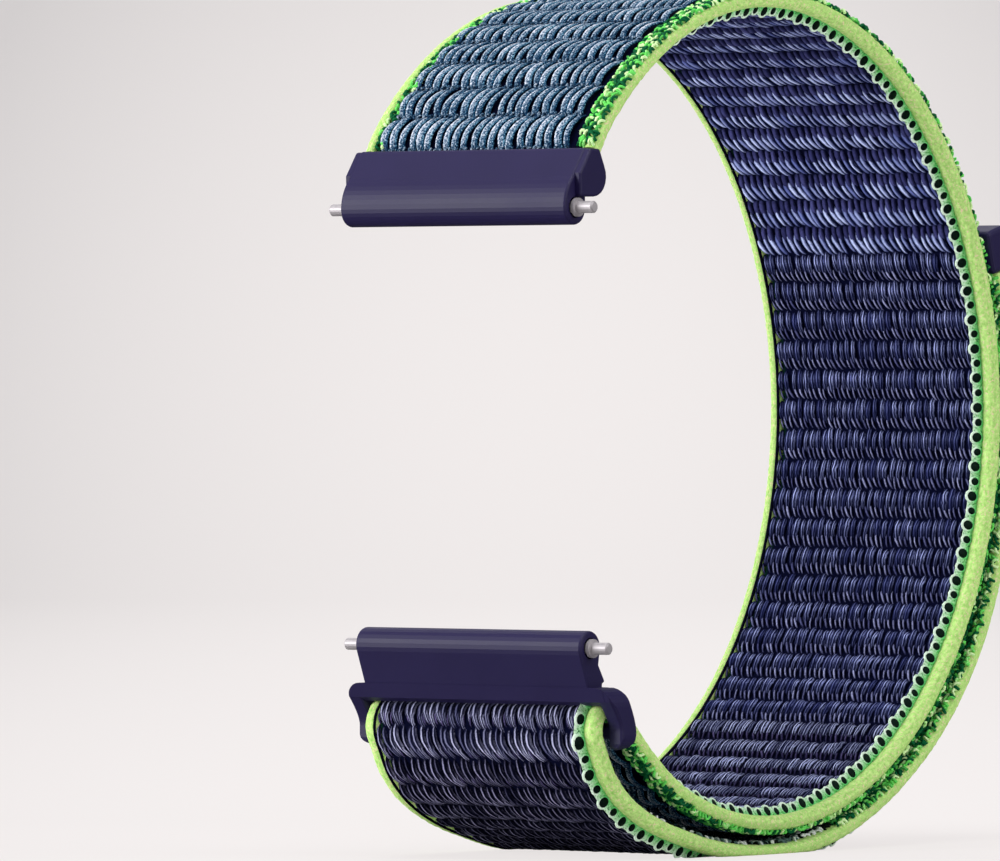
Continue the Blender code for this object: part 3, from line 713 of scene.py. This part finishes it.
floatYarn = {"Columns": 32, "Pitch": band["pitch"], "Width": 0.0187, "Centre": -0.00035,
             "Lift": 0.00004, "Base": 0.0, "Top": 0.0006, "Points": 9, "Sides": 6, "Radius": 0.00027,
             "Reach": band["pitch"] * 0.62, "Rise": 0.0003, "Flat": 0.6, "ThickAt": 0.45,
             "ThickFor": 0.7, "Thin": 0.5, "BendFrom": 0.0, "Bend": 0.0, "Lean": 0.0, "Dim": 1.0,
             "GlowFrom": 0.0, "GlowTo": 1.0, "Wander": 0.00008, "Twist": 0.08, "Vary": 0.28,
             "Side": -1.0}
slant = {**floatYarn, "Columns": 41, "Points": 5, "Sides": 5, "Radius": 0.000115, "Thin": 0.8,
         "Reach": band["pitch"] * 0.46, "Rise": 0.00025, "Lift": 0.0001, "Lean": -0.0005,
         "Wander": 0.00006}
midFloat = {**floatYarn, "Dim": 0.3, "GlowTo": 0.5}
upperBase = {**floatYarn, "Reach": band["pitch"] * 0.47, "Rise": 0.00024, "Dim": 0.45,
             "GlowFrom": 2.0, "GlowTo": 3.0}
upperSweep = {**floatYarn, "Points": 8, "Sides": 5, "Radius": 0.00025, "Reach": band["pitch"] * 0.66,
              "ThickAt": 0.5, "Lean": -0.0006, "Bend": 0.0001}
lowFloat = {**floatYarn, "Lift": 0.00006, "Dim": 0.7, "GlowTo": 0.9}
lowSlant = {**slant, "Dim": 0.5, "GlowFrom": 2.0, "GlowTo": 3.0}
leaf = {**floatYarn, "Columns": 33, "Pitch": band["tailPitch"], "Reach": band["tailPitch"] * 0.97,
        "Radius": 0.00024, "ThickAt": 0.3, "ThickFor": 0.42, "Thin": 0.34, "BendFrom": 0.35,
        "Bend": 0.0012}
leafSlant = {**slant, "Pitch": band["tailPitch"], "Reach": band["tailPitch"] * 0.46, "Columns": 36,
             "Lift": 0.00005}


def weaveFace():
    # The ring's ribbed inner face: its yarns change from the top to the bottom, and so do their painted
    # light and shade
    midFirst = ringFirst + upperRows * band["pitch"]
    lowFirst = midFirst + midRows * band["pitch"]
    lowRows = ringRows - upperRows - midRows
    laid = [("upper_bases", rowsAt(upperBase, ringFirst, upperRows, 0.27, 11), "base"),
            ("upper_sweeps", rowsAt(upperSweep, ringFirst, upperRows, 0.64, 12), "sweep"),
            ("back_floats", rowsAt(midFloat, midFirst, midRows, 0.35, 13), "rib"),
            ("back_slants", rowsAt(slant, midFirst, midRows, 0.75, 14), "thin"),
            ("lower_floats", rowsAt(lowFloat, lowFirst, lowRows, 0.34, 15), "ribLow"),
            ("lower_slants", rowsAt(lowSlant, lowFirst, lowRows, 0.76, 16), "low")]
    return [rows(name, sizes, finish[colour], shape=floatShape) for name, sizes, colour in laid]


def tailFace():
    # The tail's ribbed outer face, whose first rows are painted as lit and the rest painted as shaded
    lit = band["litRows"]
    leaves = rowsAt(leaf, tailFirst, lit, 0.5, 31)
    shaded = rowsAt(leaf, tailFirst + lit * band["tailPitch"], tailRows - lit, 0.5, 33)
    slants = rowsAt(leafSlant, tailFirst, tailRows, 0.76, 32)
    return [rows("tail_floats", leaves, finish["tailRib"], shape=floatShape),
            rows("tail_floats_low", shaded, finish["tailLow"], shape=floatShape),
            rows("tail_slants", slants, finish["low"], shape=floatShape)]


bow = {"Columns": 21, "Pitch": band["pilePitch"], "Width": 0.017, "Centre": -0.0004, "Lift": 0.00028,
       "Base": 0.0001, "Top": 0.00078, "Points": 9, "Sides": 5, "Radius": 0.000105, "Ply": 0.0,
       "Reach": band["pilePitch"] * 1.02, "Rise": 0.0004, "Bow": 0.0003, "Curl": 0.0003, "Dim": 0.0,
       "Wander": 0.00009, "Twist": 0.12, "Vary": 0.16, "Side": 1.0}
# Plies across each loop: the pale one at one side is painted as its lit side, the teal one at the other is
# teal yarn painted darker as its shaded side
plies = {"a": (-0.00017, "pale"), "b": (-0.00003, "grey"), "c": (0.0001, "grey"), "d": (0.00022, "teal")}
dot = {**bow, "Columns": 36, "Points": 5, "Sides": 4, "Radius": 0.00011, "Reach": 0.00042,
       "Rise": 0.00012, "Lift": 0.0004, "Bow": 0.00003, "Curl": 0.0, "Twist": 0.7, "Wander": 0.0001}


def pileFace():
    # The ring's outer face: loops of four plies, and dots between their rows
    made = []
    pileRows = int((tailFirst - band["pileFirst"]) / band["pilePitch"])
    for word, (shift, colour) in plies.items():
        sizes = rowsAt(bow, band["pileFirst"], pileRows, 0.5, 23, Ply=shift)
        made.append(rows("ring_loops_" + word, sizes, finish[colour], shape=bowShape))
    dots = rowsAt(dot, band["pileFirst"], pileRows, 0.0, 27)
    made.append(rows("ring_dots", dots, finish["grey"], shape=bowShape))
    return made


hook = {"Columns": 34, "Pitch": 0.0005, "Width": 0.0168, "Centre": 0.0, "Lift": 0.0003, "Base": 0.0001,
        "Top": 0.0009, "Points": 7, "Sides": 4, "Radius": 0.00005, "Reach": 0.0004, "Bow": 0.00014,
        "Wander": 0.00006, "Twist": 0.5, "Vary": 0.08, "Side": 1.0}


def innerPile():
    # The tail's fastening face: loops, then the hooks of the flap
    loopRows = int((hookStart - tailFirst) / band["tailPitch"])
    changes = {"Pitch": band["tailPitch"], "Columns": 24, "Radius": 0.00016}
    loops = rowsAt(bow, tailFirst, loopRows, 0.5, 83, **changes)
    hookRows = int((tabLength - hookStart) / hook["Pitch"]) - 1
    hooks = rowsAt(hook, hookStart, hookRows, 1.0, 87)
    return (rows("tail_loops", loops, finish["inner"], shape=bowShape),
            rows("tail_hooks", hooks, finish["hook"], shape=hookShape))


# The eyelets stand up beside the cord, on the ribbed side

eyelet = {"Columns": 2, "Width": 0.00001, "Centre": 0.00943, "Lift": 0.00086, "Base": 0.0001,
          "Top": 0.0015, "Points": 12, "Sides": 6, "Radius": 0.00011, "Reach": 0.0005, "Squash": 0.94,
          "Tilt": 1.1, "Wander": 0.00002, "Twist": 0.1, "Vary": 0.06, "Side": -1.0}
smallEyelet = {**eyelet, "Centre": 0.00947, "Reach": 0.0004, "Radius": 0.0001, "Lift": 0.00078}
webSection = [(0.0097, -0.00029), (0.00974, -0.00031), (0.0093, -0.00117), (0.00926, -0.00115)]


def eyelets(name, first, count, pitch, seed):
    # One large and one small loop beside each rib, along the right edge
    large = rowsAt(eyelet, first, count, 0.25, seed, Pitch=pitch)
    small = rowsAt(smallEyelet, first, count, 0.75, seed + 4, Pitch=pitch)
    return [rows(name, large, finish["eyelet"], eyeletRing),
            rows(name + "_small", small, finish["eyelet"], eyeletRing)]


stitch = {"Columns": 5, "Pitch": 0.0004, "Width": 0.0012, "Lift": 0.0005, "Base": 0.0001,
          "Top": 0.0008, "Points": 5, "Sides": 5, "Radius": 0.00012, "Ply": 0.0, "Reach": 0.0006,
          "Rise": 0.0003, "Bow": 0.00004, "Curl": 0.0, "Dim": 0.0, "Wander": 0.00012, "Twist": 1.3,
          "Vary": 0.2, "Side": 1.0}
thinly = {"Columns": 2, "Width": 0.0005, "Lift": 0.0003, "Reach": 0.0005}


def stitches(name, centre, first, last, colour, seed, **changes):
    # Short stitches along an edge of the pile side
    count = int((last - first) / stitch["Pitch"])
    sizes = rowsAt(stitch, first, count, 0.5, seed, Centre=centre, **changes)
    return rows(name, sizes, finish[colour], shape=bowShape)


cordSizes = {"Side": 1.0, "Rough": 0.00008, "Grain": 3200.0, "Sides": 16}
leftCord = {**cordSizes, "X": -0.01028, "Radius": 0.00054, "Wide": 1.0}
rightCord = {**cordSizes, "X": 0.0102, "Radius": 0.0006, "Wide": 1.22}
tailCordWide = 1.3
cordFirst = 0.0012
cordStep = 0.00022


def cord(name, sizes, first, last, **changes):
    # A lumpy cord beside the field; Wide is its width as a share of its height
    sizes = {**sizes, "Path": strapPath, "First": first, "Last": last,
             "Count": int((last - first) / cordStep), **changes}
    net, given = newTree(name, sizes)
    ends = {"Start": net.join(0.0, given["First"], 0.0), "End": net.join(0.0, given["Last"], 0.0)}
    line = net.add("GeometryNodeCurvePrimitiveLine", None, ends)
    line = net.add("GeometryNodeResampleCurve", None, {"Curve": line, "Count": given["Count"]})
    line = keep(net, line, "along", place3(net)[1])
    section = circle(net, given["Sides"], given["Radius"])
    section = keep(net, section, "around", net.add("GeometryNodeSplineParameter"))
    parts = {"Curve": line, "Profile Curve": section, "Fill Caps": True}
    tube = net.add("GeometryNodeCurveToMesh", None, parts)
    lump = net.noise(net.add("GeometryNodeInputPosition"), given["Grain"], 2.0, 0.6) - 0.5
    push = net.scale(net.add("GeometryNodeInputNormal"), lump * 2.0 * given["Rough"])
    tube = net.add("GeometryNodeSetPosition", None, {"Geometry": tube, "Offset": push})
    place = {"Geometry": tube, "Translation": net.join(given["X"], 0.0, 0.0),
             "Scale": net.join(given["Wide"], 1.0, 1.0)}
    tube = net.add("GeometryNodeTransform", None, place)
    return settle(name, net, wrapped(net, tube, given), sizes, finish["lime"])


border = {"radius": 0.00012, "out": -0.00045, "sides": 8}


def borderLine(name, x, first, last, colour):
    # A thin thread along an edge of the field
    radius = border["radius"]
    turns = steps(0, 2 * math.pi, border["sides"])[:-1]
    section = [(x + radius * math.cos(a), radius * math.sin(a) + border["out"]) for a in turns]
    return strip(name, first, last, section, finish[colour])


loops, hooks = innerPile()
right = acrossAt["borderRight"]
left = acrossAt["borderLeft"]
ringWeave = weaveFace()
ringWeave.append(borderLine("ring_border_right", right, 0.0, tailFirst, "border"))
ringWeave.append(borderLine("ring_border_left", left, 0.0, tailFirst, "low"))
tailWeave = tailFace()
tailWeave.append(borderLine("tail_border_right", right, tailFirst, tabLength, "border"))
tailWeave.append(borderLine("tail_border_left", left, tailFirst, tabLength, "low"))
ringEdge = eyelets("ring_eyelets", ringFirst, ringRows, band["pitch"], 101)
tailEdge = eyelets("tail_eyelets", tailFirst, tailRows, band["tailPitch"], 131)
ringEdge.append(strip("ring_web", ringFirst, tailFirst, webSection, finish["web"]))
tailEdge.append(strip("tail_web", tailFirst, tabLength, webSection, finish["web"]))
flapFirst = tailLengthAt(band["flapAngle"])
right = acrossAt["stitchRight"]
left = acrossAt["stitchLeft"]
low = acrossAt["tailStitchRight"]
ringEdge.append(stitches("ring_stitches_right", right, ringFirst, tailFirst, "moss", 111))
ringEdge.append(stitches("ring_stitches_left", left, ringFirst, tailFirst, "moss", 121, **thinly))
tailEdge.append(stitches("tail_stitches_right", low, tailFirst, flapFirst, "dots", 141))
tailEdge.append(stitches("flap_stitches_right", right, flapFirst, tabLength, "moss", 146))
tailEdge.append(stitches("tail_stitches_left", left, tailFirst, tabLength, "moss", 151, **thinly))
ringPile = pileFace()

# The ground under the yarns, from its ribbed side to its pile side, runs into the lug and the tab
edge = acrossAt["ground"]
ribSide = -0.0002
pileSide = 0.0003
ground = [(-edge, ribSide), (edge, ribSide), (edge, pileSide), (-edge, pileSide)]
ringCore = strip("ring_core", 0.0, tailFirst, ground, finish["core"])
tailCore = strip("tail_core", tailFirst, totalLength, ground, finish["core"])
cords = {}
for word, sizes in (("left", leftCord), ("right", rightCord)):
    cords["ring", word] = cord("ring_cord_" + word, sizes, cordFirst, tailFirst)
    cords["tail", word] = cord("tail_cord_" + word, sizes, tailFirst, tabLength, Wide=tailCordWide)
print("band made")


# Bodies: the ring's pieces ride the strap; the tail's pieces stay as made, and the hinge, with bendReach to
# each side of it, is worked out but bends nothing

hingeOut = 0.00065
bendReach = 0.004
hinge = ringPoint(loop["hingeAngle"], tailStandOff(loop["hingeAngle"]) + hingeOut)
hinge = Vector((0, hinge.x + loop["centreY"], hinge.y + loop["centreZ"]))
turnAt = math.radians(loop["hingeAngle"])
run = Vector((0, -loop["halfDepth"] * math.sin(turnAt), loop["halfHeight"] * math.cos(turnAt)))
bend = run.normalized() * bendReach


def rideStrap(piece, slot, *nodes):
    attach(piece, "strap")
    if nodes:
        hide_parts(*nodes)


def bendTail(piece, slot, *nodes):
    hinge - bend
    hinge + bend
    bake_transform(piece)
    if nodes:
        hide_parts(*nodes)


for piece in ringWeave:
    rideStrap(piece, "navy_weave")
for piece in ringPile:
    rideStrap(piece, "loop_pile")
for piece in ringEdge:
    rideStrap(piece, "lime_cord")
for piece in tailWeave:
    bendTail(piece, "navy_weave")
for piece in tailEdge:
    bendTail(piece, "lime_cord")
bendTail(loops, "loop_pile")
bendTail(hooks, "hook_tape")
rideStrap(ringCore, "navy_weave", "band_weave", "band_pile")
rideStrap(cords["ring", "left"], "lime_cord", "band_cord_left")
rideStrap(cords["ring", "right"], "lime_cord", "band_cord_right")
bendTail(tailCore, "navy_weave", "flap_weave", "flap_pile", "hook_patch")
bendTail(cords["tail", "left"], "lime_cord", "flap_cord_left")
bendTail(cords["tail", "right"], "lime_cord", "flap_cord_right")

for name in ("upper_lug", "lower_lug", "tail_tab"):
    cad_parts[name].data.materials.clear()
    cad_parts[name].data.materials.append(finish["plastic"])
for name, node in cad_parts.items():
    if "_bar_" in name or "_tip_" in name:
        node.data.materials.clear()
        node.data.materials.append(finish["steel"])
bpy.data.objects.remove(strapPath)


# Studio

studio = {"angle": 37, "distance": 0.75, "sideStep": 0.00186, "eyeHeight": 0.03556, "aimY": -0.026657,
          "lens": 362.05, "sensor": 36, "shiftY": -0.0455, "clipStart": 0.01, "roomStrength": 0.3}


def makeCamera():
    turn = math.radians(studio["angle"])
    ahead = Vector((-math.sin(turn), math.cos(turn), 0))
    right = Vector((math.cos(turn), math.sin(turn), 0))
    data = bpy.data.cameras.new("camera")
    data.lens = studio["lens"]
    data.sensor_width = studio["sensor"]
    data.shift_y = studio["shiftY"]
    data.clip_start = studio["clipStart"]
    made = bpy.data.objects.new("camera", data)
    aim = Vector((0, studio["aimY"], studio["eyeHeight"]))
    made.location = aim - ahead * studio["distance"] + right * studio["sideStep"]
    made.rotation_euler = (math.pi / 2, 0, turn)
    bpy.context.scene.collection.objects.link(made)
    bpy.context.scene.camera = made


paper = {"front": -1.5, "back": 0.9, "bend": 0.5, "bendSteps": 12, "top": 2.2, "halfWidth": 2.0,
         "centreZ": 0.04, "glowRadius": 0.13, "glowShare": 0.85}


def makeBackdrop():
    # Floor that curves up into a wall, seen pale with a painted pool of light that is brightest round the
    # object and fades outwards, and dim in reflections, as if black flags stood round it
    mesh = bmesh.new()
    bend = paper["bend"]
    profile = [(paper["front"], 0.0), (paper["back"], 0.0)]
    profile += [(paper["back"] + bend * math.sin(a), bend - bend * math.cos(a))
                for a in steps(0, math.pi / 2, paper["bendSteps"])[1:]]
    profile.append((paper["back"] + bend, paper["top"]))
    turn = math.radians(studio["angle"])
    lines = []
    for out, z in profile:
        ends = [(s * math.cos(turn) - out * math.sin(turn), s * math.sin(turn) + out * math.cos(turn))
                for s in (-paper["halfWidth"], paper["halfWidth"])]
        lines.append([mesh.verts.new((x, y, z)) for x, y in ends])
    for one, two in zip(lines, lines[1:]):
        mesh.faces.new((one[0], one[1], two[1], two[0]))
    material, net, shader = newMaterial("studioPaper", {"Roughness": 0.9, "Specular IOR Level": 0.0})
    shader.inputs["Base Color"].default_value = rgb(225, 222, 221)
    path = net.tree.nodes.new("ShaderNodeLightPath")
    seen = Wire(net, path.outputs["Is Camera Ray"])
    mirrored = Wire(net, path.outputs["Is Glossy Ray"])
    x, y, z = net.split(net.place())
    across = x * math.cos(turn) + y * math.sin(turn)
    high = z - paper["centreZ"]
    # Painted pool of light: the camera sees the paper brightest round the object, fading out over the
    # pool's radius
    far = (across * across + high * high) / paper["glowRadius"] ** 2
    tone = net.blend(far.clamped(), rgb(248, 243, 242), rgb(214, 210, 210))
    glow = net.add("ShaderNodeEmission", None, {"Color": tone, "Strength": 1.0})
    flag = net.add("ShaderNodeEmission", None, {"Color": rgb(90, 88, 92), "Strength": 1.0})
    lit = Wire(net, shader.outputs[0])
    shade = net.add("ShaderNodeMixShader", None, {0: seen * paper["glowShare"], 1: lit, 2: glow})
    shade = net.add("ShaderNodeMixShader", None, {0: mirrored, 1: shade, 2: flag})
    net.plug(net.tree.nodes["Material Output"].inputs["Surface"], shade)
    wall = meshObject("backdrop", mesh, material)
    wall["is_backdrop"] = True


# Each lamp: azimuth and elevation in degrees, distance and size in metres, power in watts
lamps = {"key": (-43, 14, 0.9, 0.48, 7.8), "top": (20, 78, 0.9, 0.6, 4.5),
         "side": (95, 25, 1.0, 0.6, 3.5), "back": (215, 50, 1.0, 0.7, 3.0)}
lampAim = Vector((0, 0, 0.033))


def areaLight(name, azimuth, elevation, away, size, power):
    data = bpy.data.lights.new(name, "AREA")
    data.shape = "DISK"
    data.size = size
    data.energy = power
    made = bpy.data.objects.new(name, data)
    a = math.radians(azimuth)
    e = math.radians(elevation)
    back = Vector((math.sin(a) * math.cos(e), -math.cos(a) * math.cos(e), math.sin(e)))
    made.location = lampAim + back * away
    made.rotation_euler = back.to_track_quat("Z", "Y").to_euler()
    bpy.context.scene.collection.objects.link(made)


makeCamera()
makeBackdrop()
for name, lamp in lamps.items():
    areaLight(name, *lamp)
world = bpy.data.worlds.new("room")
world.use_nodes = True
room = world.node_tree.nodes["Background"]
room.inputs["Color"].default_value = rgb(240, 240, 244)
room.inputs["Strength"].default_value = studio["roomStrength"]
bpy.context.scene.world = world
bpy.context.scene.view_settings.view_transform = "Standard"
print("studio made")

sizes = {"cad": [list(map(float, corner)) for corner in cadBox],
         "visual": [list(map(float, corner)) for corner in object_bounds()]}
